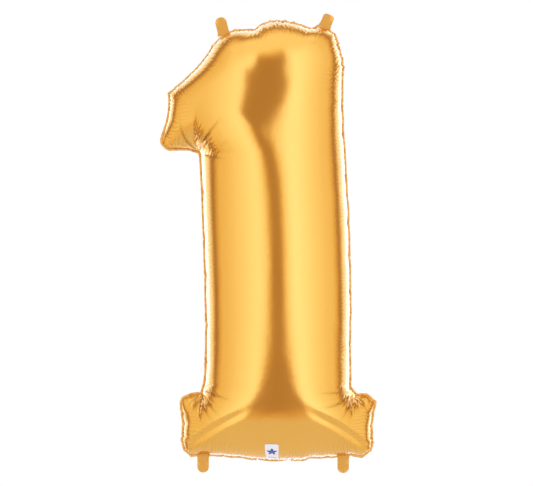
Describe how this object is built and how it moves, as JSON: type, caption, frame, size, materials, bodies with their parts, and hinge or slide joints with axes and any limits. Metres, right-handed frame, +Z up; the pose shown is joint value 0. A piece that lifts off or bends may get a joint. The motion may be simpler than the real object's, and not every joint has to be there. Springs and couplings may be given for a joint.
{
  "type": "foil number balloon",
  "caption": "Inflated satin gold foil balloon in the shape of the numeral one, with a welded rim seam, hanging tabs, a folded filling neck and an inner self-closing valve.",
  "frame": {"origin": "midway between the hanging points of the two top tabs, in the seam's plane", "axes": "+Z up along the numeral's height, -Y out of the printed front, +X to the right as seen from the front, away from the flag"},
  "size_m": [0.4353, 0.2812, 0.9188],
  "materials": {
    "gold_film": "satin",
    "gold_weld": "satin",
    "valve_film": "satin",
    "barrier_ink": "matte",
    "emblem_print": "satin"
  },
  "bodies": {
    "envelope": {"front_panel": "gold_film", "rear_panel": "gold_film", "heat_seal_seam": "gold_weld", "printed_emblem": "emblem_print", "valve_front_film": "valve_film", "valve_rear_film": "valve_film", "valve_barrier_print": "barrier_ink"},
    "neck": {"neck_rear_film": "gold_film", "neck_front_film": "gold_film", "neck_seal_left": "gold_weld", "neck_seal_right": "gold_weld", "valve_tail": "valve_film"},
    "top_left_tab": {"tab_top_left": "gold_film"},
    "top_right_tab": {"tab_top_right": "gold_film"},
    "bottom_left_tab": {"tab_bottom_left": "gold_film"},
    "bottom_right_tab": {"tab_bottom_right": "gold_film"}
  },
  "joints": [
    {"name": "neck_fold", "type": "hinge", "parent": "envelope", "child": "neck", "pos_m": [-0.00041, 0, -0.87881], "axis": [-1, 0, 0], "range_deg": [0, 120]},
    {"name": "tab_top_left_flex", "type": "hinge", "parent": "envelope", "child": "top_left_tab", "pos_m": [-0.10119, 0, -0.0233], "axis": [0.8969, 0, 0.4422], "range_deg": [-60, 60], "stiffness_Nm_per_rad": 0.0004},
    {"name": "tab_top_right_flex", "type": "hinge", "parent": "envelope", "child": "top_right_tab", "pos_m": [0.10164, 0, -0.00803], "axis": [0.8714, 0, -0.4906], "range_deg": [-60, 60], "stiffness_Nm_per_rad": 0.0004},
    {"name": "tab_bottom_left_flex", "type": "hinge", "parent": "envelope", "child": "bottom_left_tab", "pos_m": [-0.14225, 0, -0.87013], "axis": [-0.9995, 0, -0.0329], "range_deg": [-60, 60], "stiffness_Nm_per_rad": 0.0004},
    {"name": "tab_bottom_right_flex", "type": "hinge", "parent": "envelope", "child": "bottom_right_tab", "pos_m": [0.13783, 0, -0.87121], "axis": [-0.9982, 0, -0.0593], "range_deg": [-60, 60], "stiffness_Nm_per_rad": 0.0004}
  ]
}
